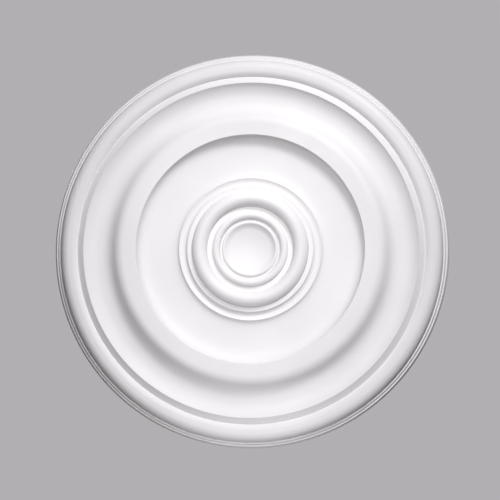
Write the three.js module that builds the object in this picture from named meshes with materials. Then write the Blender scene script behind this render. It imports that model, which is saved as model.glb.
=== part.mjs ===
import * as THREE from 'three';

// Ceiling rose: a shallow round moulding, cast in one piece, that is bonded flat to a ceiling.
// All sizes are in millimetres. The flat back lies in the plane z = 0 and faces up, so the
// moulded face hangs below it and looks down into the room. The origin is the back's centre.

// The moulded face is given from the centre outwards. A width is measured along the radius, and
// a height is measured from the back plane. A rise, drop or step is a difference of heights.

// Centre: a concave dish that steepens outwards, inside a small ring and a half-round ring.
// A pull is the length over which a free curve holds the slope of its end.
const DISH_WIDTH = 30.5;
const DISH_FLOOR_HEIGHT = 15.8;
const DISH_SAG = 4.1;
const DISH_WALL_WIDTH = 7.3;
const DISH_WALL_INNER_SLOPE = 17;
const DISH_WALL_OUTER_SLOPE = 48;
const DISH_WALL_PULL = 2.5;
const INNER_RING_HEIGHT = 24.6;
const INNER_RING_WIDTH = 4.2;
const INNER_RING_RISE = 0.9;
const INNER_RING_FLANK_WIDTH = 1.2;
const RING_GROOVE_HEIGHT = 22.8;
const RING_GROOVE_WIDTH = 1.9;
const MIDDLE_RING_WIDTH = 12.5;
const MIDDLE_RING_RISE = 6.2;

// Boss: a large half-round ring, the highest part of the face, between two flats
const BOSS_INNER_FLAT_WIDTH = 7.2;
const BOSS_INNER_FLAT_HEIGHT = 23.6;
const BOSS_ROLL_WIDTH = 23.6;
const BOSS_ROLL_RISE = 11;
const BOSS_OUTER_FLAT_WIDTH = 7;
const BOSS_OUTER_FLAT_HEIGHT = 24.7;

// Foot of the boss: a small hollow between two sharp edges
const FOOT_STEP_DROP = 0.8;
const FOOT_HOLLOW_INNER_WIDTH = 6.1;
const FOOT_HOLLOW_HEIGHT = 20.1;
const FOOT_HOLLOW_OUTER_WIDTH = 6.3;
const FOOT_EDGE_RISE = 1.7;

// Saucer: the wide hollow round the boss, which climbs to a sharp lip with a flat band
const SAUCER_FALL_WIDTH = 23.2;
const SAUCER_FALL_SLOPE = 52;
const SAUCER_FALL_PULL = 4;
const SAUCER_FLOOR_HEIGHT = 15.9;
const SAUCER_INNER_PULL = 21;
const SAUCER_OUTER_PULL = 35;
const SAUCER_RISE_WIDTH = 42.1;
const SAUCER_LIP_SLOPE = 74;
const SAUCER_LIP_PULL = 14;
const LIP_HEIGHT = 31.9;
const LIP_BAND_WIDTH = 18.1;

// Ogee down from the band to a valley, and a cove up to a narrow sloping fillet.
// The ogee's two curves share the slope where they meet.
const OGEE_SLOPE = 49;
const OGEE_SHOULDER_WIDTH = 17.3;
const OGEE_SHOULDER_DROP = 8.9;
const OGEE_SHOULDER_LEVEL_PULL = 9.7;
const OGEE_SHOULDER_SLOPE_PULL = 5.9;
const OGEE_HOLLOW_WIDTH = 23.9;
const OGEE_HOLLOW_SLOPE_PULL = 10.6;
const OGEE_HOLLOW_LEVEL_PULL = 12.1;
const VALLEY_HEIGHT = 13.2;
const COVE_WIDTH = 21.7;
const COVE_LEVEL_PULL = 11;
const COVE_SLOPE = 50;
const COVE_SLOPE_PULL = 4;
const FILLET_HEIGHT = 21.6;
const FILLET_WIDTH = 8.5;
const FILLET_DROP = 5.5;
const QUIRK_HEIGHT = 14.8;
const QUIRK_WIDTH = 1.3;

// Rim: the outer roll, with a narrow level top and nearly a quarter round outwards, then two
// steps down
const ROLL_HEIGHT = 19.4;
const ROLL_INNER_WIDTH = 9.6;
const ROLL_TOP_WIDTH = 3.4;
const ROLL_OUTER_WIDTH = 14;
const ROLL_FOOT_HEIGHT = 8.8;
const LEDGE_DROP = 1.4;
const LEDGE_WIDTH = 2.6;
const LEDGE_FLANK_WIDTH = 1.8;
const EDGE_STEP_HEIGHT = 4.6;
const EDGE_STEP_WIDTH = 2.1;
const EDGE_CHAMFER_WIDTH = 1.7;
const EDGE_CHAMFER_DROP = 2.8;
const EDGE_DRAFT_WIDTH = 0.9;

// Back: a flat bonding face with two shallow round grooves that key the adhesive.
// The inner groove runs behind the boss, and the outer one at a set distance from the edge.
const OUTER_GROOVE_INSET = 60;
const GROOVE_WIDTH = 6;
const GROOVE_DEPTH = 1.5;
const GROOVE_FLANK_WIDTH = 1;

// Facets round the rose, and along each round stretch of its section
const SPOKES = 64;
const SMALL_ARC_STEPS = 2;
const ARC_STEPS = 3;
const SWEEP_STEPS = 4;
const ROLL_STEPS = 5;
const RING_STEPS = 6;
const LONG_SWEEP_STEPS = 6;
const BOSS_STEPS = 8;

const COLOUR = 0xe7e6e5;
const ROUGHNESS = 0.5;

// A half section of the rose as a path in (radius, height). Each call goes on from its end.
class Section {
  constructor(height) {
    this.points = [new THREE.Vector2(0, height)];
  }

  get end() {
    return this.points[this.points.length - 1];
  }

  // A straight stretch, level, sloping or upright
  line(width, height) {
    this.points.push(new THREE.Vector2(this.end.x + width, height));
    return this;
  }

  curve(curve, steps) {
    this.points.push(...curve.getPoints(steps).slice(1));
    return this;
  }

  arc(centre, radius, to, clockwise, steps) {
    const startAngle = Math.atan2(this.end.y - centre.y, this.end.x - centre.x);
    const endAngle = Math.atan2(to.y - centre.y, to.x - centre.x);
    return this.curve(
      new THREE.EllipseCurve(centre.x, centre.y, radius, radius, startAngle, endAngle, clockwise),
      steps,
    );
  }

  // A round ridge that stands rise above the middle of its chord
  ridge(width, height, rise, steps) {
    const to = new THREE.Vector2(this.end.x + width, height);
    const chord = this.end.distanceTo(to);
    const radius = (chord * chord / 4 + rise * rise) / (2 * rise);
    const outwards = new THREE.Vector2(this.end.y - to.y, to.x - this.end.x).divideScalar(chord);
    const middle = this.end.clone().lerp(to, 0.5);
    return this.arc(middle.addScaledVector(outwards, rise - radius), radius, to, true, steps);
  }

  // An arc that leaves its start level
  leaveLevel(width, height, steps) {
    return this.levelArc(this.end, width, height, height > this.end.y, steps);
  }

  // An arc that arrives level at its end
  arriveLevel(width, height, steps) {
    const to = new THREE.Vector2(this.end.x + width, height);
    return this.levelArc(to, width, height, height < this.end.y, steps);
  }

  // The circle touches the level end from above for a hollow, or from below for a round
  levelArc(levelEnd, width, height, hollow, steps) {
    const change = Math.abs(height - this.end.y);
    const radius = (width * width + change * change) / (2 * change);
    const to = new THREE.Vector2(this.end.x + width, height);
    const centre = new THREE.Vector2(levelEnd.x, levelEnd.y + (hollow ? radius : -radius));
    return this.arc(centre, radius, to, !hollow, steps);
  }

  // A free curve between two slopes in degrees, which climb outwards where they are positive
  sweep(width, height, leave, arrive, steps) {
    const to = new THREE.Vector2(this.end.x + width, height);
    const first = this.end.clone().add(slopeVector(leave.slope, leave.pull));
    const second = to.clone().sub(slopeVector(arrive.slope, arrive.pull));
    return this.curve(new THREE.CubicBezierCurve(this.end.clone(), first, second, to), steps);
  }
}

function slopeVector(slope, length) {
  const angle = THREE.MathUtils.degToRad(slope);
  return new THREE.Vector2(Math.cos(angle), Math.sin(angle)).multiplyScalar(length);
}

function addCentre(section) {
  section
    .leaveLevel(DISH_WIDTH, DISH_FLOOR_HEIGHT + DISH_SAG, ARC_STEPS)
    .sweep(
      DISH_WALL_WIDTH,
      INNER_RING_HEIGHT,
      { slope: DISH_WALL_INNER_SLOPE, pull: DISH_WALL_PULL },
      { slope: DISH_WALL_OUTER_SLOPE, pull: DISH_WALL_PULL },
      SMALL_ARC_STEPS,
    )
    .ridge(INNER_RING_WIDTH, INNER_RING_HEIGHT, INNER_RING_RISE, SMALL_ARC_STEPS)
    .line(INNER_RING_FLANK_WIDTH, RING_GROOVE_HEIGHT)
    .line(RING_GROOVE_WIDTH, RING_GROOVE_HEIGHT)
    .ridge(MIDDLE_RING_WIDTH, BOSS_INNER_FLAT_HEIGHT, MIDDLE_RING_RISE, RING_STEPS);
}

function addBoss(section) {
  section
    .line(BOSS_INNER_FLAT_WIDTH, BOSS_INNER_FLAT_HEIGHT)
    .ridge(BOSS_ROLL_WIDTH, BOSS_OUTER_FLAT_HEIGHT, BOSS_ROLL_RISE, BOSS_STEPS)
    .line(BOSS_OUTER_FLAT_WIDTH, BOSS_OUTER_FLAT_HEIGHT)
    .line(0, BOSS_OUTER_FLAT_HEIGHT - FOOT_STEP_DROP)
    .arriveLevel(FOOT_HOLLOW_INNER_WIDTH, FOOT_HOLLOW_HEIGHT, SMALL_ARC_STEPS)
    .leaveLevel(FOOT_HOLLOW_OUTER_WIDTH, FOOT_HOLLOW_HEIGHT + FOOT_EDGE_RISE, SMALL_ARC_STEPS);
}

function addSaucer(section) {
  section
    .sweep(
      SAUCER_FALL_WIDTH,
      SAUCER_FLOOR_HEIGHT,
      { slope: -SAUCER_FALL_SLOPE, pull: SAUCER_FALL_PULL },
      { slope: 0, pull: SAUCER_INNER_PULL },
      SWEEP_STEPS,
    )
    .sweep(
      SAUCER_RISE_WIDTH,
      LIP_HEIGHT,
      { slope: 0, pull: SAUCER_OUTER_PULL },
      { slope: SAUCER_LIP_SLOPE, pull: SAUCER_LIP_PULL },
      LONG_SWEEP_STEPS,
    )
    .line(LIP_BAND_WIDTH, LIP_HEIGHT);
}

function addOgee(section) {
  section
    .sweep(
      OGEE_SHOULDER_WIDTH,
      LIP_HEIGHT - OGEE_SHOULDER_DROP,
      { slope: 0, pull: OGEE_SHOULDER_LEVEL_PULL },
      { slope: -OGEE_SLOPE, pull: OGEE_SHOULDER_SLOPE_PULL },
      SWEEP_STEPS,
    )
    .sweep(
      OGEE_HOLLOW_WIDTH,
      VALLEY_HEIGHT,
      { slope: -OGEE_SLOPE, pull: OGEE_HOLLOW_SLOPE_PULL },
      { slope: 0, pull: OGEE_HOLLOW_LEVEL_PULL },
      SWEEP_STEPS,
    )
    .sweep(
      COVE_WIDTH,
      FILLET_HEIGHT,
      { slope: 0, pull: COVE_LEVEL_PULL },
      { slope: COVE_SLOPE, pull: COVE_SLOPE_PULL },
      SWEEP_STEPS,
    )
    .line(FILLET_WIDTH, FILLET_HEIGHT - FILLET_DROP)
    .line(QUIRK_WIDTH, QUIRK_HEIGHT);
}

function addRim(section) {
  const ledgeHeight = ROLL_FOOT_HEIGHT - LEDGE_DROP;
  section
    .arriveLevel(ROLL_INNER_WIDTH, ROLL_HEIGHT, ARC_STEPS)
    .line(ROLL_TOP_WIDTH, ROLL_HEIGHT)
    .leaveLevel(ROLL_OUTER_WIDTH, ROLL_FOOT_HEIGHT, ROLL_STEPS)
    .line(0, ledgeHeight)
    .line(LEDGE_WIDTH, ledgeHeight)
    .line(LEDGE_FLANK_WIDTH, EDGE_STEP_HEIGHT)
    .line(EDGE_STEP_WIDTH, EDGE_STEP_HEIGHT)
    .line(EDGE_CHAMFER_WIDTH, EDGE_STEP_HEIGHT - EDGE_CHAMFER_DROP)
    .line(EDGE_DRAFT_WIDTH, 0);
}

// One groove in the back, passed from its outer edge to its inner edge
function addGroove(section, radius) {
  const floorHalf = GROOVE_WIDTH / 2 - GROOVE_FLANK_WIDTH;
  section
    .line(radius + GROOVE_WIDTH / 2 - section.end.x, 0)
    .line(-GROOVE_FLANK_WIDTH, GROOVE_DEPTH)
    .line(-2 * floorHalf, GROOVE_DEPTH)
    .line(-GROOVE_FLANK_WIDTH, 0);
}

function addBack(section, innerGrooveRadius) {
  addGroove(section, section.end.x - OUTER_GROOVE_INSET);
  addGroove(section, innerGrooveRadius);
  section.line(-section.end.x, 0);
}

function roseSection() {
  const section = new Section(DISH_FLOOR_HEIGHT);
  addCentre(section);
  addBoss(section);
  const bossRadius = section.end.x;
  addSaucer(section);
  addOgee(section);
  addRim(section);
  addBack(section, bossRadius);
  return section.points;
}

// The section's heights point down from the back plane, and the lathe turns it about +Z.
function roseMesh() {
  const hanging = roseSection().map((point) => new THREE.Vector2(point.x, -point.y));
  const geometry = new THREE.LatheGeometry(hanging, SPOKES);
  geometry.rotateX(Math.PI / 2);
  const material = new THREE.MeshStandardMaterial({
    color: COLOUR,
    roughness: ROUGHNESS,
    metalness: 0,
  });
  const mesh = new THREE.Mesh(geometry, material);
  mesh.name = 'rose';
  return mesh;
}

const ceilingRose = new THREE.Group();
ceilingRose.name = 'ceiling_rose';
ceilingRose.add(roseMesh());

export default ceilingRose;
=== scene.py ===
"""Ceiling rose: the fine moulding turned from its section, its primed finish, and a plain studio."""

import math

import bpy
import bmesh
from bpy.props import FloatProperty, FloatVectorProperty, IntProperty, PointerProperty
from mathutils import Matrix, Vector


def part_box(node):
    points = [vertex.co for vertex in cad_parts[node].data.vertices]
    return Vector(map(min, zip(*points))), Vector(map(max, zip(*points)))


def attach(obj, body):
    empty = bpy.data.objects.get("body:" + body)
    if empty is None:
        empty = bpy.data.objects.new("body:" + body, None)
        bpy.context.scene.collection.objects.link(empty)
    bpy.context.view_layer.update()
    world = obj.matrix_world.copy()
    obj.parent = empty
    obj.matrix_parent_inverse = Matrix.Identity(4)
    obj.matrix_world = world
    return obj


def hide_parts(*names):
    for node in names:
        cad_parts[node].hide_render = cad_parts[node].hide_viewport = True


bl_info = {
    "name": "Ceiling Rose",
    "version": (1, 0, 0),
    "blender": (4, 5, 0),
    "location": "View3D > Sidebar > Ceiling Rose",
    "description": "Turns a round ceiling rose from its section and sets it in a plain studio",
    "category": "Add Mesh",
}

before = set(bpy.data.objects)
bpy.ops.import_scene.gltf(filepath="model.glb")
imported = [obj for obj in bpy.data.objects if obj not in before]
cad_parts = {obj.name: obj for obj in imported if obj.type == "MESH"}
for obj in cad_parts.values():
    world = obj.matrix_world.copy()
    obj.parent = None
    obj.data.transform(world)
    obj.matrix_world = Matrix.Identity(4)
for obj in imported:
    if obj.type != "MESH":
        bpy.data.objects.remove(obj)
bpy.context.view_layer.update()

MM = 0.001
ROSE_NODE = "rose"

# The photograph's width in pixels, and the camera's sensor in millimetres and reach in metres
PHOTO_WIDTH = 500
SENSOR_WIDTH = 36.0
CAMERA_REACH = 200.0

# A turn of the section sharper than this is rounded, over at most this share of each of its sides
SHARP_TURN = math.radians(14)
EASE_SHARE = 0.4
EASE_STEPS = (0, 1 / 3, 2 / 3, 1)

# A stretch longer than this many guard distances gets a guard loop at both ends
GUARDED_STRETCH = 4

# Points closer than this become one, which closes the seam and both poles
WELD_DISTANCE = 0.001 * MM

# The grain's noise, with its pits as a share of a cell and its patches as a band of the noise
GRAIN_DETAIL = 3.0
PATCH_DETAIL = 4.0
PIT_REACH = 0.25
PATCH_START, PATCH_STOP = 0.35, 0.65

# The back's finish ends just below its key grooves and just inside the edge
BACK_MARGIN = 1.1
BACK_INSET = 1.2 * MM

# The floor's paint, with its grains and patches per metre, and its half width in metres
FLOOR_GRAIN = 300
FLOOR_PATCHES = 0.4
FLOOR_ROUGHNESS = 0.9
FLOOR_REACH = 60

# Where the light on the back and the floor comes from
OVERHEAD_DIRECTION = Vector((0.2, 0.25, 0.95)).normalized()
OVERHEAD_DISTANCE = 3.0


def length(name, description, millimetres):
    """A length, given in millimetres and held in metres."""
    return FloatProperty(
        name=name,
        description=description,
        default=millimetres * MM,
        min=0.0,
        precision=5,
        unit="LENGTH",
        subtype="DISTANCE",
    )


def slope(name, description, degrees):
    """An angle, given in degrees and held in radians."""
    return FloatProperty(
        name=name, description=description, default=math.radians(degrees), subtype="ANGLE"
    )


def colour(name, description, values):
    """A linear colour without alpha."""
    return FloatVectorProperty(
        name=name, description=description, default=values, size=3, min=0.0, max=1.0, subtype="COLOR"
    )


def number(name, description, value):
    """A plain number that is never negative."""
    return FloatProperty(name=name, description=description, default=value, min=0.0)


def pixels(name, description, value):
    """A shift in the picture, which may be negative."""
    return FloatProperty(name=name, description=description, default=value)


def power(name, description, watts):
    """The power of a lamp."""
    return FloatProperty(name=name, description=description, default=watts, min=0.0, unit="POWER")


class CentreSizes(bpy.types.PropertyGroup):
    """The dish at the middle and the two small rings round it."""

    dish_width: length("Dish width", "Radius of the shallow dish", 30.5)
    dish_floor_height: length("Dish floor height", "Height of the dish's middle over the back", 15.8)
    dish_sag: length("Dish sag", "How far the dish's edge stands over its middle", 4.1)
    wall_width: length("Wall width", "Width of the dish's steepening wall", 7.3)
    wall_inner_slope: slope("Wall inner slope", "Slope where the wall leaves the dish", 17)
    wall_outer_slope: slope("Wall outer slope", "Slope where the wall meets the inner ring", 48)
    wall_pull: length("Wall pull", "Length over which each of the two slopes is held", 2.5)
    inner_ring_height: length("Inner ring height", "Height of the inner ring's feet", 24.6)
    inner_ring_width: length("Inner ring width", "Width of the inner ring", 4.2)
    inner_ring_rise: length("Inner ring rise", "How far its crest stands over its feet", 0.9)
    inner_ring_flank: length("Inner ring flank", "Width of its outer flank", 1.2)
    groove_height: length("Groove height", "Height of the groove between the rings", 22.8)
    groove_width: length("Groove width", "Width of the groove's flat floor", 1.9)
    middle_ring_width: length("Middle ring width", "Width of the half-round middle ring", 12.5)
    middle_ring_rise: length("Middle ring rise", "How far its crest stands over its feet", 6.2)


class BossSizes(bpy.types.PropertyGroup):
    """The large half-round ring, its two flats and the hollow at its foot."""

    inner_flat_width: length("Inner flat width", "Width of the flat inside the large ring", 7.2)
    inner_flat_height: length("Inner flat height", "Height of the flat inside the large ring", 23.6)
    roll_width: length("Large ring width", "Width of the large half-round ring", 23.6)
    roll_rise: length("Large ring rise", "How far its crest stands over its feet", 11)
    outer_flat_width: length("Outer flat width", "Width of the flat outside the large ring", 7)
    outer_flat_height: length("Outer flat height", "Height of the flat outside it", 24.7)
    step_drop: length("Step drop", "Drop of the sharp step beside the outer flat", 0.8)
    hollow_inner_width: length("Hollow inner width", "Width of the foot hollow's inner side", 6.1)
    hollow_height: length("Hollow height", "Height of the foot hollow's floor", 20.1)
    hollow_outer_width: length("Hollow outer width", "Width of the foot hollow's outer side", 6.3)
    edge_rise: length("Edge rise", "How far the foot's outer edge stands over the hollow", 1.7)


class SaucerSizes(bpy.types.PropertyGroup):
    """The wide hollow round the boss, and the flat band on its lip."""

    fall_width: length("Fall width", "Width of the slope from the boss to the floor", 23.2)
    fall_slope: slope("Fall slope", "Slope at the boss's foot", 52)
    fall_pull: length("Fall pull", "Length over which the slope is held at the foot", 4)
    floor_height: length("Floor height", "Height of the saucer's lowest circle", 15.9)
    inner_pull: length("Inner pull", "Length over which the floor stays level inwards", 21)
    outer_pull: length("Outer pull", "Length over which the floor stays level outwards", 35)
    rise_width: length("Rise width", "Width of the slope from the floor to the lip", 42.1)
    lip_slope: slope("Lip slope", "Slope at the lip", 74)
    lip_pull: length("Lip pull", "Length over which the slope is held at the lip", 14)
    lip_height: length("Lip height", "Height of the lip and its flat band", 31.9)
    band_width: length("Band width", "Width of the flat band", 18.1)


class OgeeSizes(bpy.types.PropertyGroup):
    """The ogee down from the band, and the cove up to the sloping fillet."""

    ogee_slope: slope("Ogee slope", "Slope where the ogee's two curves meet", 49)
    shoulder_width: length("Shoulder width", "Width of the ogee's convex part", 17.3)
    shoulder_drop: length("Shoulder drop", "How far the convex part falls", 8.9)
    shoulder_level_pull: length("Shoulder level pull", "Length over which it stays level", 9.7)
    shoulder_slope_pull: length("Shoulder slope pull", "Length over which its slope is held", 5.9)
    hollow_width: length("Hollow width", "Width of the ogee's concave part", 23.9)
    hollow_slope_pull: length("Hollow slope pull", "Length over which its slope is held", 10.6)
    hollow_level_pull: length("Hollow level pull", "Length over which it stays level", 12.1)
    valley_height: length("Valley height", "Height of the valley between ogee and cove", 13.2)
    cove_width: length("Cove width", "Width of the cove that climbs to the fillet", 21.7)
    cove_level_pull: length("Cove level pull", "Length over which the cove stays level", 11)
    cove_slope: slope("Cove slope", "Slope where the cove meets the fillet", 50)
    cove_slope_pull: length("Cove slope pull", "Length over which that slope is held", 4)
    fillet_height: length("Fillet height", "Height of the fillet's inner edge", 21.6)
    fillet_width: length("Fillet width", "Width of the sloping fillet", 8.5)
    fillet_drop: length("Fillet drop", "How far the fillet falls outwards", 5.5)
    quirk_height: length("Quirk height", "Height of the narrow groove beside the fillet", 14.8)
    quirk_width: length("Quirk width", "Width of the narrow groove", 1.3)


class RimSizes(bpy.types.PropertyGroup):
    """The outer roll and the two steps down to the ceiling."""

    roll_height: length("Roll height", "Height of the outer roll's crest", 19.4)
    roll_inner_width: length("Roll inner width", "Width of the roll's inner side", 9.6)
    roll_top_width: length("Roll top width", "Width of the roll's level top", 3.4)
    roll_outer_width: length("Roll outer width", "Width of the roll's outer side", 14)
    roll_foot_height: length("Roll foot height", "Height of the roll's outer foot", 8.8)
    ledge_drop: length("Ledge drop", "Drop from the roll's foot to the ledge", 1.4)
    ledge_width: length("Ledge width", "Width of the ledge", 2.6)
    ledge_flank: length("Ledge flank", "Width of the slope below the ledge", 1.8)
    edge_height: length("Edge height", "Height of the lowest step", 4.6)
    edge_width: length("Edge width", "Width of the lowest step", 2.1)
    chamfer_width: length("Chamfer width", "Width of the edge's chamfer", 1.7)
    chamfer_drop: length("Chamfer drop", "Drop of the edge's chamfer", 2.8)
    draft_width: length("Draft width", "How far the edge leans out down to the ceiling", 0.9)


class BackSizes(bpy.types.PropertyGroup):
    """The flat back with its two shallow key grooves."""

    groove_inset: length("Groove inset", "Distance from the edge to the outer key groove", 60)
    groove_width: length("Groove width", "Width of a key groove", 6)
    groove_depth: length("Groove depth", "Depth of a key groove", 1.5)
    groove_flank: length("Groove flank", "Width of a key groove's sloping side", 1)


class MeshSettings(bpy.types.PropertyGroup):
    """How finely the rose is turned."""

    spokes: IntProperty(name="Spokes", description="Steps round the rose", default=200, min=16)
    arc_step: slope("Arc step", "Largest turn of the section from one point to the next", 5)
    sweep_steps: IntProperty(
        name="Sweep steps", description="Steps along each long free curve", default=16, min=4
    )
    ease: length("Ease", "How far each arris is rounded back, as a mould and primer leave it", 0.45)
    guard: length("Guard", "Distance of the loops that keep each flat's shading flat", 0.35)


class FinishSettings(bpy.types.PropertyGroup):
    """The factory primer on the face, and the barer skin of the back."""

    primer: colour("Primer", "Colour of the primed face", (0.81, 0.807, 0.80))
    primer_shade: colour("Primer shade", "Colour of its faintly thinner patches", (0.78, 0.776, 0.768))
    skin: colour("Back skin", "Colour of the moulded back", (0.74, 0.72, 0.66))
    skin_shade: colour("Back skin shade", "Colour of the back's duller patches", (0.68, 0.66, 0.60))
    primer_roughness: number("Primer roughness", "Roughness of the primed face", 0.5)
    patch_roughness: number("Patch roughness", "How much rougher its thinner patches are", 0.07)
    skin_roughness: number("Back roughness", "Roughness of the back", 0.85)
    primer_grain: number("Primer grain", "Grains per metre of the primer", 1400)
    primer_patches: number("Primer patches", "Patches per metre of the primer", 9)
    skin_grain: number("Back grain", "Grains per metre of the back", 420)
    skin_patches: number("Back patches", "Patches per metre of the back", 14)
    skin_pits: number("Back pits", "Depth of the back's pits, as a share of its relief", 0.8)
    primer_relief: length("Primer relief", "Height of the primer's fine grain", 0.012)
    skin_relief: length("Back relief", "Height of the back's coarser grain", 0.25)


class StageSettings(bpy.types.PropertyGroup):
    """The camera, the lights, the floor and the background."""

    camera_distance: length("Camera distance", "From the back's centre to the camera", 3000)
    camera_tilt: slope("Camera tilt", "How far the camera stands off the rose's axis", 6.3)
    camera_turn: slope("Camera turn", "Where it stands, anticlockwise from the picture's right", -52)
    pixels_per_metre: number("Pixels per metre", "Picture scale at the back's centre", 657.5)
    aim_right: pixels("Aim right", "Pixels from the picture's middle to the back's centre", 1.2)
    aim_up: pixels("Aim up", "Pixels from the picture's middle to the back's centre", -0.2)
    key_turn: slope("Key turn", "Where the main light stands, anticlockwise from picture right", 65)
    key_height: slope("Key height", "Angle of the main light over the rose's face", 40)
    key_distance: length("Key distance", "From the rose to the main light", 2600)
    key_size: length("Key size", "Width of the main light", 700)
    key_power: power("Key power", "Power of the soft light from the picture's top", 44.8)
    lamp_distance: length("Lamp distance", "From the rose to the front and the side lamp", 2400)
    lamp_radius: length("Lamp radius", "Radius of the front and the side lamp", 350)
    front_turn: slope("Front turn", "Where the lamp above the camera stands", 90)
    front_height: slope("Front height", "Angle of that lamp over the rose's face", 68)
    front_cone: slope("Front cone", "Width of its beam", 24)
    front_power: power("Front power", "Power of the lamp above the camera", 134.4)
    side_turn: slope("Side turn", "Where the lamp left of the camera stands", 120)
    side_height: slope("Side height", "Angle of that lamp over the rose's face", 76)
    side_cone: slope("Side cone", "Width of its beam", 30)
    side_power: power("Side power", "Power of the lamp left of the camera", 45.9)
    bounce_turn: slope("Bounce turn", "Where the board under the rose's lower edge stands", 270)
    bounce_height: slope("Bounce height", "Angle of that board over the rose's face", 25)
    bounce_distance: length("Bounce distance", "From the rose's centre to that board", 550)
    bounce_size: length("Bounce size", "Width of that board", 350)
    bounce_power: power("Bounce power", "Power of the board under the rose's lower edge", 0.6)
    tint: colour("Light tint", "Colour of the lights on the face", (0.986, 0.962, 1.0))
    overhead: number("Overhead", "Strength of the light on the back and the floor", 2.4)
    overhead_spread: slope("Overhead spread", "How wide that light's source looks", 25)
    ambient: number("Ambient", "Strength of the even light from all round", 0.01)
    background: colour("Background", "Colour seen behind the rose", (0.445, 0.429, 0.445))
    floor: colour("Floor", "Colour of the floor", (0.84, 0.835, 0.83))
    floor_shade: colour("Floor shade", "Colour of its faintly duller patches", (0.80, 0.795, 0.79))
    floor_depth: length("Floor depth", "From the ceiling's plane down to the floor", 3600)


class CeilingRose(bpy.types.PropertyGroup):
    """All the rose's settings."""

    centre: PointerProperty(type=CentreSizes)
    boss: PointerProperty(type=BossSizes)
    saucer: PointerProperty(type=SaucerSizes)
    ogee: PointerProperty(type=OgeeSizes)
    rim: PointerProperty(type=RimSizes)
    back: PointerProperty(type=BackSizes)
    mesh: PointerProperty(type=MeshSettings)
    finish: PointerProperty(type=FinishSettings)
    stage: PointerProperty(type=StageSettings)


class Section:
    """A half section of the rose as a path of (radius, height) points. Each call goes on from its end."""

    def __init__(self, height, arc_step):
        self.points = [Vector((0.0, height))]
        self.arc_step = arc_step

    @property
    def end(self):
        return self.points[-1]

    def line(self, width, height):
        """A straight line."""
        self.points.append(Vector((self.end.x + width, height)))

    def arc(self, centre, to, clockwise):
        """Turns about centre from the end to the point given."""
        arm = self.end - centre
        start = math.atan2(arm.y, arm.x)
        stop = math.atan2(to.y - centre.y, to.x - centre.x)
        turn = (stop - start) % math.tau
        if clockwise:
            turn -= math.tau
        steps = max(2, math.ceil(abs(turn) / self.arc_step))
        for step in range(1, steps):
            angle = start + turn * step / steps
            self.points.append(centre + arm.length * Vector((math.cos(angle), math.sin(angle))))
        self.points.append(to)

    def ridge(self, width, height, rise):
        """A round ridge that stands rise above the middle of its chord."""
        to = Vector((self.end.x + width, height))
        along = to - self.end
        radius = (along.length_squared / 4 + rise * rise) / (2 * rise)
        outwards = Vector((-along.y, along.x)).normalized()
        self.arc((self.end + to) / 2 + outwards * (rise - radius), to, True)

    def leave_level(self, width, height):
        """An arc that leaves its start level."""
        self.level_arc(self.end, width, height, height > self.end.y)

    def arrive_level(self, width, height):
        """An arc that arrives level at its end."""
        to = Vector((self.end.x + width, height))
        self.level_arc(to, width, height, height < self.end.y)

    def level_arc(self, level_end, width, height, hollow):
        """The circle touches the level end from above for a hollow, or from below for a round."""
        change = abs(height - self.end.y)
        radius = (width * width + change * change) / (2 * change)
        centre = Vector((level_end.x, level_end.y + (radius if hollow else -radius)))
        self.arc(centre, Vector((self.end.x + width, height)), not hollow)

    def sweep(self, width, height, leave, arrive, steps):
        """A free curve between two slopes, each given with its pull."""
        start = self.end.copy()
        to = Vector((start.x + width, height))
        first = start + slope_vector(*leave)
        second = to - slope_vector(*arrive)
        for step in range(1, steps + 1):
            t = step / steps
            s = 1 - t
            self.points.append(
                start * s**3 + first * (3 * s * s * t) + second * (3 * s * t * t) + to * t**3
            )


def slope_vector(angle, reach):
    return Vector((math.cos(angle), math.sin(angle))) * reach


def add_centre(section, sizes, boss, steps):
    section.leave_level(sizes.dish_width, sizes.dish_floor_height + sizes.dish_sag)
    section.sweep(
        sizes.wall_width,
        sizes.inner_ring_height,
        (sizes.wall_inner_slope, sizes.wall_pull),
        (sizes.wall_outer_slope, sizes.wall_pull),
        steps,
    )
    section.ridge(sizes.inner_ring_width, sizes.inner_ring_height, sizes.inner_ring_rise)
    section.line(sizes.inner_ring_flank, sizes.groove_height)
    section.line(sizes.groove_width, sizes.groove_height)
    section.ridge(sizes.middle_ring_width, boss.inner_flat_height, sizes.middle_ring_rise)


def add_boss(section, sizes):
    section.line(sizes.inner_flat_width, sizes.inner_flat_height)
    section.ridge(sizes.roll_width, sizes.outer_flat_height, sizes.roll_rise)
    section.line(sizes.outer_flat_width, sizes.outer_flat_height)
    section.line(0, sizes.outer_flat_height - sizes.step_drop)
    section.arrive_level(sizes.hollow_inner_width, sizes.hollow_height)
    section.leave_level(sizes.hollow_outer_width, sizes.hollow_height + sizes.edge_rise)


def add_saucer(section, sizes, steps):
    section.sweep(
        sizes.fall_width,
        sizes.floor_height,
        (-sizes.fall_slope, sizes.fall_pull),
        (0, sizes.inner_pull),
        steps,
    )
    section.sweep(
        sizes.rise_width,
        sizes.lip_height,
        (0, sizes.outer_pull),
        (sizes.lip_slope, sizes.lip_pull),
        steps,
    )
    section.line(sizes.band_width, sizes.lip_height)


def add_ogee(section, sizes, lip_height, steps):
    section.sweep(
        sizes.shoulder_width,
        lip_height - sizes.shoulder_drop,
        (0, sizes.shoulder_level_pull),
        (-sizes.ogee_slope, sizes.shoulder_slope_pull),
        steps,
    )
    section.sweep(
        sizes.hollow_width,
        sizes.valley_height,
        (-sizes.ogee_slope, sizes.hollow_slope_pull),
        (0, sizes.hollow_level_pull),
        steps,
    )
    section.sweep(
        sizes.cove_width,
        sizes.fillet_height,
        (0, sizes.cove_level_pull),
        (sizes.cove_slope, sizes.cove_slope_pull),
        steps,
    )
    section.line(sizes.fillet_width, sizes.fillet_height - sizes.fillet_drop)
    section.line(sizes.quirk_width, sizes.quirk_height)


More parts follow.
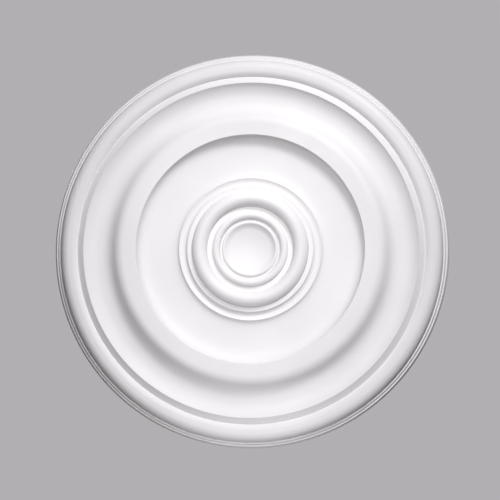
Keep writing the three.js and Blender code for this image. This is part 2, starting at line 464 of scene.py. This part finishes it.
def add_rim(section, sizes):
    ledge_height = sizes.roll_foot_height - sizes.ledge_drop
    section.arrive_level(sizes.roll_inner_width, sizes.roll_height)
    section.line(sizes.roll_top_width, sizes.roll_height)
    section.leave_level(sizes.roll_outer_width, sizes.roll_foot_height)
    section.line(0, ledge_height)
    section.line(sizes.ledge_width, ledge_height)
    section.line(sizes.ledge_flank, sizes.edge_height)
    section.line(sizes.edge_width, sizes.edge_height)
    section.line(sizes.chamfer_width, sizes.edge_height - sizes.chamfer_drop)
    section.line(sizes.draft_width, 0)


def add_back(section, sizes, inner_groove_radius):
    """Back to the axis, over one groove near the edge and one behind the boss."""
    outer_groove_radius = section.end.x - sizes.groove_inset
    for radius in (outer_groove_radius, inner_groove_radius):
        floor_width = sizes.groove_width - 2 * sizes.groove_flank
        section.line(radius + sizes.groove_width / 2 - section.end.x, 0)
        section.line(-sizes.groove_flank, sizes.groove_depth)
        section.line(-floor_width, sizes.groove_depth)
        section.line(-sizes.groove_flank, 0)
    section.line(-section.end.x, 0)


def eased(points, ease):
    """The path with each arris rounded by a short curve. Points inside a smooth arc stay as they are."""
    path = [points[0]]
    for before, corner, after in zip(points, points[1:], points[2:]):
        into, out = corner - before, after - corner
        if into.angle(out) < SHARP_TURN:
            path.append(corner)
            continue
        start = corner - into.normalized() * min(ease, into.length * EASE_SHARE)
        stop = corner + out.normalized() * min(ease, out.length * EASE_SHARE)
        for t in EASE_STEPS:
            path.append(start.lerp(corner, t).lerp(corner.lerp(stop, t), t))
    path.append(points[-1])
    return path


def guarded(points, guard):
    """The path with a point close to both ends of each long stretch, which keeps its shading flat."""
    path = [points[0]]
    for start, stop in zip(points, points[1:]):
        run = (stop - start).length
        if run > GUARDED_STRETCH * guard:
            path.append(start.lerp(stop, guard / run))
            path.append(stop.lerp(start, guard / run))
        path.append(stop)
    return path


def rose_section(rose):
    """The whole half section as (radius, height) points, from the face's centre round to the back's."""
    long_steps = rose.mesh.sweep_steps
    short_steps = long_steps // 2
    section = Section(rose.centre.dish_floor_height, rose.mesh.arc_step)
    add_centre(section, rose.centre, rose.boss, short_steps)
    add_boss(section, rose.boss)
    boss_radius = section.end.x
    add_saucer(section, rose.saucer, long_steps)
    add_ogee(section, rose.ogee, rose.saucer.lip_height, long_steps)
    add_rim(section, rose.rim)
    add_back(section, rose.back, boss_radius)
    return guarded(eased(section.points, rose.mesh.ease), rose.mesh.guard)


def wire_object(name, points):
    """A section as a mesh of points in the XZ plane, with its heights hanging down from the ceiling."""
    mesh = bpy.data.meshes.new(name)
    edges = [(index, index + 1) for index in range(len(points) - 1)]
    mesh.from_pydata([(point.x, 0, -point.y) for point in points], edges, [])
    wire = bpy.data.objects.new(name, mesh)
    bpy.context.scene.collection.objects.link(wire)
    return wire


class Tree:
    """Adds nodes to a node tree and joins them, in few words."""

    def __init__(self, tree):
        self.tree = tree

    def node(self, kind, inputs=None, **settings):
        node = self.tree.nodes.new(kind)
        for name, value in settings.items():
            setattr(node, name, value)
        for socket, value in (inputs or {}).items():
            self.feed(node.inputs[socket], value)
        return node

    def feed(self, socket, value):
        if isinstance(value, bpy.types.NodeSocket):
            self.tree.links.new(value, socket)
        else:
            socket.default_value = value


def turning_tree():
    """Geometry nodes that turn a section about the Z axis into one closed surface."""
    tree = bpy.data.node_groups.new("Turn a section", "GeometryNodeTree")
    sockets = tree.interface
    sockets.new_socket("Section", in_out="INPUT", socket_type="NodeSocketGeometry")
    sockets.new_socket("Spokes", in_out="INPUT", socket_type="NodeSocketInt")
    sockets.new_socket("Weld distance", in_out="INPUT", socket_type="NodeSocketFloat")
    sockets.new_socket("Finish", in_out="INPUT", socket_type="NodeSocketMaterial")
    sockets.new_socket("Turned surface", in_out="OUTPUT", socket_type="NodeSocketGeometry")

    add = Tree(tree)
    given = add.node("NodeGroupInput").outputs
    stations = add.node("GeometryNodeAttributeDomainSize", {"Geometry": given["Section"]})
    count = stations.outputs["Point Count"]
    columns = add.node(
        "FunctionNodeIntegerMath", {0: given["Spokes"], 1: 1}, operation="ADD"
    ).outputs[0]
    sheet = add.node("GeometryNodeMeshGrid", {"Vertices X": columns, "Vertices Y": count})
    index = add.node("GeometryNodeInputIndex").outputs[0]
    station = add.node("FunctionNodeIntegerMath", {0: index, 1: count}, operation="MODULO").outputs[0]
    spoke = add.node("FunctionNodeIntegerMath", {0: index, 1: count}, operation="DIVIDE_FLOOR")
    share = add.node("ShaderNodeMath", {0: spoke.outputs[0], 1: given["Spokes"]}, operation="DIVIDE")
    angle = add.node("ShaderNodeMath", {0: share.outputs[0], 1: math.tau}, operation="MULTIPLY")
    place = add.node(
        "GeometryNodeSampleIndex",
        {
            "Geometry": given["Section"],
            "Value": add.node("GeometryNodeInputPosition").outputs[0],
            "Index": station,
        },
        data_type="FLOAT_VECTOR",
    )
    turned = add.node(
        "ShaderNodeVectorRotate",
        {"Vector": place.outputs[0], "Angle": angle.outputs[0]},
        rotation_type="Z_AXIS",
    )
    moved = add.node(
        "GeometryNodeSetPosition",
        {"Geometry": sheet.outputs["Mesh"], "Position": turned.outputs[0]},
    )
    welded = add.node(
        "GeometryNodeMergeByDistance",
        {"Geometry": moved.outputs[0], "Distance": given["Weld distance"]},
    )
    smooth = add.node("GeometryNodeSetShadeSmooth", {"Geometry": welded.outputs[0]})
    real = add.node("GeometryNodeRealizeInstances", {"Geometry": smooth.outputs[0]})
    finished = add.node(
        "GeometryNodeSetMaterial", {"Geometry": real.outputs[0], "Material": given["Finish"]}
    )
    add.node("NodeGroupOutput", {0: finished.outputs[0]})
    return tree


def set_inputs(modifier, values):
    """Sets a geometry nodes modifier's inputs by the identifiers of their sockets."""
    for item in modifier.node_group.interface.items_tree:
        if item.name in values and item.in_out == "INPUT":
            modifier[item.identifier] = values[item.name]


def turned_object(name, points, spokes, material):
    """The section turned by geometry nodes and kept as a plain mesh, with its faces pointing out."""
    wire = wire_object(name + " section", points)
    modifier = wire.modifiers.new("Turn", "NODES")
    modifier.node_group = turning_tree()
    set_inputs(modifier, {"Spokes": spokes, "Weld distance": WELD_DISTANCE, "Finish": material})
    evaluated = wire.evaluated_get(bpy.context.evaluated_depsgraph_get())
    mesh = bpy.data.meshes.new_from_object(evaluated)
    mesh.name = name
    bpy.data.objects.remove(wire)

    shape = bmesh.new()
    shape.from_mesh(mesh)
    bmesh.ops.recalc_face_normals(shape, faces=shape.faces)
    if shape.calc_volume(signed=True) < 0:
        bmesh.ops.reverse_faces(shape, faces=shape.faces)
    shape.to_mesh(mesh)
    shape.free()

    turned = bpy.data.objects.new(name, mesh)
    bpy.context.scene.collection.objects.link(turned)
    return turned


def grain_group():
    """The shared shader node group: fine grain with a height, and a mask of broad soft patches."""
    made = bpy.data.node_groups.get("Grain")
    if made:
        return made
    group = bpy.data.node_groups.new("Grain", "ShaderNodeTree")
    sockets = group.interface
    sockets.new_socket("Vector", in_out="INPUT", socket_type="NodeSocketVector")
    sockets.new_socket("Grain per metre", in_out="INPUT", socket_type="NodeSocketFloat")
    sockets.new_socket("Patches per metre", in_out="INPUT", socket_type="NodeSocketFloat")
    sockets.new_socket("Pits", in_out="INPUT", socket_type="NodeSocketFloat")
    sockets.new_socket("Height", in_out="OUTPUT", socket_type="NodeSocketFloat")
    sockets.new_socket("Patches", in_out="OUTPUT", socket_type="NodeSocketFloat")

    add = Tree(group)
    given = add.node("NodeGroupInput").outputs
    grain = add.node(
        "ShaderNodeTexNoise",
        {"Vector": given["Vector"], "Scale": given["Grain per metre"], "Detail": GRAIN_DETAIL},
    )
    pores = add.node(
        "ShaderNodeTexVoronoi", {"Vector": given["Vector"], "Scale": given["Grain per metre"]}
    )
    pits = add.node(
        "ShaderNodeMapRange",
        {"Value": pores.outputs["Distance"], "From Max": PIT_REACH, "To Min": 1.0, "To Max": 0.0},
    )
    depth = add.node("ShaderNodeMath", {0: pits.outputs[0], 1: given["Pits"]}, operation="MULTIPLY")
    height = add.node(
        "ShaderNodeMath", {0: grain.outputs[0], 1: depth.outputs[0]}, operation="SUBTRACT"
    )
    broad = add.node(
        "ShaderNodeTexNoise",
        {"Vector": given["Vector"], "Scale": given["Patches per metre"], "Detail": PATCH_DETAIL},
    )
    patches = add.node(
        "ShaderNodeMapRange",
        {"Value": broad.outputs[0], "From Min": PATCH_START, "From Max": PATCH_STOP},
    )
    add.node("NodeGroupOutput", {"Height": height.outputs[0], "Patches": patches.outputs[0]})
    return group


def grain_node(add, coordinates, grain, patches, pits=0.0):
    """The shared grain group, placed in a material with that material's own values."""
    values = {
        "Vector": coordinates,
        "Grain per metre": grain,
        "Patches per metre": patches,
        "Pits": pits,
    }
    return add.node("ShaderNodeGroup", values, node_tree=grain_group())


def new_material(name):
    """An empty node material, with its Principled BSDF and output, as (material, tree, shader)."""
    material = bpy.data.materials.new(name)
    material.use_nodes = True
    material.node_tree.nodes.clear()
    add = Tree(material.node_tree)
    shader = add.node("ShaderNodeBsdfPrincipled")
    add.node("ShaderNodeOutputMaterial", {"Surface": shader.outputs[0]})
    return material, add, shader


def rgba(values):
    return (*values, 1.0)


def mixed_colour(add, factor, first, second):
    """The colour between two, by a factor."""
    mix = add.node("ShaderNodeMix", {"Factor": factor}, data_type="RGBA")
    add.feed(mix.inputs["A"], first)
    add.feed(mix.inputs["B"], second)
    return mix.outputs["Result"]


def mixed_value(add, factor, first, second):
    """The value between two, by a factor."""
    return add.node("ShaderNodeMix", {"Factor": factor, "A": first, "B": second}).outputs[0]


def back_mask(add, coordinates, groove_depth, edge_radius):
    """1 on the back and in its grooves, and 0 on the face and on the edge."""
    place = add.node("ShaderNodeSeparateXYZ", {0: coordinates})
    lowest = -BACK_MARGIN * groove_depth
    level = add.node(
        "ShaderNodeMath", {0: place.outputs["Z"], 1: lowest}, operation="GREATER_THAN"
    )
    flat = add.node("ShaderNodeVectorMath", {0: coordinates, 1: (1, 1, 0)}, operation="MULTIPLY")
    radius = add.node("ShaderNodeVectorMath", {0: flat.outputs[0]}, operation="LENGTH")
    inside = add.node(
        "ShaderNodeMath", {0: radius.outputs["Value"], 1: edge_radius}, operation="LESS_THAN"
    )
    both = add.node("ShaderNodeMath", {0: level.outputs[0], 1: inside.outputs[0]}, operation="MULTIPLY")
    return both.outputs[0]


def primed_moulding(rose, edge_radius):
    """White factory primer on the face, and the duller moulded skin on the back."""
    material, add, shader = new_material("primed moulding")
    finish = rose.finish
    coordinates = add.node("ShaderNodeTexCoord").outputs["Object"]
    primer = grain_node(add, coordinates, finish.primer_grain, finish.primer_patches)
    skin = grain_node(add, coordinates, finish.skin_grain, finish.skin_patches, finish.skin_pits)

    back = back_mask(add, coordinates, rose.back.groove_depth, edge_radius)
    face_colour = mixed_colour(
        add, primer.outputs["Patches"], rgba(finish.primer), rgba(finish.primer_shade)
    )
    back_colour = mixed_colour(
        add, skin.outputs["Patches"], rgba(finish.skin), rgba(finish.skin_shade)
    )
    add.feed(shader.inputs["Base Color"], mixed_colour(add, back, face_colour, back_colour))

    rougher = finish.primer_roughness + finish.patch_roughness
    face_gloss = mixed_value(add, primer.outputs["Patches"], finish.primer_roughness, rougher)
    add.feed(shader.inputs["Roughness"], mixed_value(add, back, face_gloss, finish.skin_roughness))

    height = mixed_value(add, back, primer.outputs["Height"], skin.outputs["Height"])
    relief = mixed_value(add, back, finish.primer_relief, finish.skin_relief)
    scaled = add.node("ShaderNodeMath", {0: height, 1: relief}, operation="MULTIPLY").outputs[0]
    bump = add.node("ShaderNodeBump", {"Height": scaled, "Distance": 1.0, "Strength": 1.0})
    add.feed(shader.inputs["Normal"], bump.outputs[0])
    return material


def picture_direction(turn, height):
    """A direction from the rose's face. The turn is anticlockwise in the picture, from its right."""
    level = math.cos(height)
    return Vector((-math.cos(turn) * level, math.sin(turn) * level, -math.sin(height)))


def picture_axes(forward):
    """The picture's right and its up for a view direction, with +Y upwards."""
    right = forward.cross(Vector((0, 1, 0))).normalized()
    return right, right.cross(forward)


def add_camera(settings):
    """A camera below the rose that looks up at it, with +Y upwards in the picture."""
    distance = settings.camera_distance
    eye = picture_direction(settings.camera_turn, math.pi / 2 - settings.camera_tilt) * distance
    focal_pixels = settings.pixels_per_metre * distance
    forward = -eye.normalized()
    right, up = picture_axes(forward)
    aim = forward * focal_pixels - right * settings.aim_right - up * settings.aim_up
    forward = aim.normalized()
    right, up = picture_axes(forward)

    data = bpy.data.cameras.new("camera")
    data.sensor_width = SENSOR_WIDTH
    data.lens = focal_pixels * SENSOR_WIDTH / PHOTO_WIDTH
    data.clip_end = CAMERA_REACH
    camera = bpy.data.objects.new("camera", data)
    camera.matrix_world = Matrix.Translation(eye) @ Matrix((right, up, -forward)).transposed().to_4x4()
    bpy.context.scene.collection.objects.link(camera)
    bpy.context.scene.camera = camera


def aim_light(name, data, direction, distance):
    """A light at a distance in a direction, that points at the rose and is not seen itself."""
    light = bpy.data.objects.new(name, data)
    light.location = direction * distance
    light.rotation_euler = direction.to_track_quat("Z", "Y").to_euler()
    light.visible_camera = False
    bpy.context.scene.collection.objects.link(light)


def add_softbox(name, direction, distance, size, watts, tint):
    """A square soft light."""
    data = bpy.data.lights.new(name, "AREA")
    data.energy = watts
    data.color = tint
    data.size = size
    aim_light(name, data, direction, distance)


def add_lamp(name, direction, cone, watts, settings):
    """A soft lamp whose light fades from the rose's middle to its rim."""
    data = bpy.data.lights.new(name, "SPOT")
    data.energy = watts
    data.color = settings.tint
    data.shadow_soft_size = settings.lamp_radius
    data.spot_size = cone
    data.spot_blend = 1.0
    aim_light(name, data, direction, settings.lamp_distance)


def add_overhead(strength, spread):
    """Even light from above, on the back and on the floor."""
    data = bpy.data.lights.new("overhead", "SUN")
    data.energy = strength
    data.angle = spread
    aim_light("overhead", data, OVERHEAD_DIRECTION, OVERHEAD_DISTANCE)


def add_lights(stage):
    """The studio lights, with their places as the picture shows them."""
    key = picture_direction(stage.key_turn, stage.key_height)
    add_softbox("key", key, stage.key_distance, stage.key_size, stage.key_power, stage.tint)
    front = picture_direction(stage.front_turn, stage.front_height)
    add_lamp("front", front, stage.front_cone, stage.front_power, stage)
    side = picture_direction(stage.side_turn, stage.side_height)
    add_lamp("side", side, stage.side_cone, stage.side_power, stage)
    below = picture_direction(stage.bounce_turn, stage.bounce_height)
    add_softbox(
        "bounce", below, stage.bounce_distance, stage.bounce_size, stage.bounce_power, stage.tint
    )
    add_overhead(stage.overhead, stage.overhead_spread)


def add_world(settings):
    """An even background colour, and an even soft light of its own strength."""
    world = bpy.data.worlds.new("studio")
    bpy.context.scene.world = world
    world.use_nodes = True
    world.node_tree.nodes.clear()
    add = Tree(world.node_tree)
    seen = add.node("ShaderNodeBackground", {"Color": rgba(settings.background), "Strength": 1.0})
    even = add.node("ShaderNodeBackground", {"Color": (1, 1, 1, 1), "Strength": settings.ambient})
    ray = add.node("ShaderNodeLightPath").outputs["Is Camera Ray"]
    mix = add.node("ShaderNodeMixShader", {0: ray, 1: even.outputs[0], 2: seen.outputs[0]})
    add.node("ShaderNodeOutputWorld", {"Surface": mix.outputs[0]})


def floor_finish(settings):
    """Pale matt paint with faint broad patches."""
    material, add, shader = new_material("floor paint")
    coordinates = add.node("ShaderNodeTexCoord").outputs["Object"]
    paint = grain_node(add, coordinates, FLOOR_GRAIN, FLOOR_PATCHES)
    add.feed(
        shader.inputs["Base Color"],
        mixed_colour(add, paint.outputs["Patches"], rgba(settings.floor), rgba(settings.floor_shade)),
    )
    add.feed(shader.inputs["Roughness"], FLOOR_ROUGHNESS)
    return material


def add_floor(settings):
    """A plain pale floor below the rose. Its glow is kept off the face, whose relief it would flatten."""
    mesh = bpy.data.meshes.new("floor")
    signs = [(-1, -1), (1, -1), (1, 1), (-1, 1)]
    corners = [(x * FLOOR_REACH, y * FLOOR_REACH, -settings.floor_depth) for x, y in signs]
    mesh.from_pydata(corners, [], [(0, 1, 2, 3)])
    mesh.materials.append(floor_finish(settings))
    floor = bpy.data.objects.new("floor", mesh)
    floor.visible_diffuse = False
    floor.visible_glossy = False
    bpy.context.scene.collection.objects.link(floor)


class CEILINGROSE_OT_turn(bpy.types.Operator):
    """Turn the fine moulding from its section, give it its finish and let it stand for the solid"""

    bl_idname = "ceiling_rose.turn"
    bl_label = "Turn the rose"

    def execute(self, context):
        rose = context.scene.ceiling_rose
        low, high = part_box(ROSE_NODE)
        edge_radius = (high[0] - low[0]) / 2 - rose.rim.draft_width - BACK_INSET
        material = primed_moulding(rose, edge_radius)
        moulding = turned_object("rose_moulding", rose_section(rose), rose.mesh.spokes, material)
        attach(moulding, "root")
        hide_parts(ROSE_NODE)
        return {"FINISHED"}


class CEILINGROSE_OT_stage(bpy.types.Operator):
    """Set up the floor, the background, the lights and the camera"""

    bl_idname = "ceiling_rose.stage"
    bl_label = "Set the stage"

    def execute(self, context):
        settings = context.scene.ceiling_rose.stage
        add_floor(settings)
        add_world(settings)
        add_lights(settings)
        add_camera(settings)
        context.scene.view_settings.view_transform = "Standard"
        return {"FINISHED"}


class CEILINGROSE_PT_panel(bpy.types.Panel):
    """Lists the rose's sizes, colours and stage, with the two steps that build them"""

    bl_idname = "CEILINGROSE_PT_panel"
    bl_label = "Ceiling Rose"
    bl_space_type = "VIEW_3D"
    bl_region_type = "UI"
    bl_category = "Ceiling Rose"

    def draw(self, context):
        rose = context.scene.ceiling_rose
        self.layout.operator(CEILINGROSE_OT_turn.bl_idname)
        self.layout.operator(CEILINGROSE_OT_stage.bl_idname)
        for group in ("centre", "boss", "saucer", "ogee", "rim", "back", "mesh", "finish", "stage"):
            box = self.layout.box()
            box.label(text=group.capitalize())
            settings = getattr(rose, group)
            for name in settings.bl_rna.properties.keys():
                if name not in {"rna_type", "name"}:
                    box.prop(settings, name)


CLASSES = (
    CentreSizes,
    BossSizes,
    SaucerSizes,
    OgeeSizes,
    RimSizes,
    BackSizes,
    MeshSettings,
    FinishSettings,
    StageSettings,
    CeilingRose,
    CEILINGROSE_OT_turn,
    CEILINGROSE_OT_stage,
    CEILINGROSE_PT_panel,
)


def register():
    for item in CLASSES:
        bpy.utils.register_class(item)
    bpy.types.Scene.ceiling_rose = PointerProperty(type=CeilingRose)


def unregister():
    del bpy.types.Scene.ceiling_rose
    for item in reversed(CLASSES):
        bpy.utils.unregister_class(item)


def main():
    register()
    bpy.ops.ceiling_rose.turn()
    bpy.ops.ceiling_rose.stage()


if __name__ == "__main__":
    main()
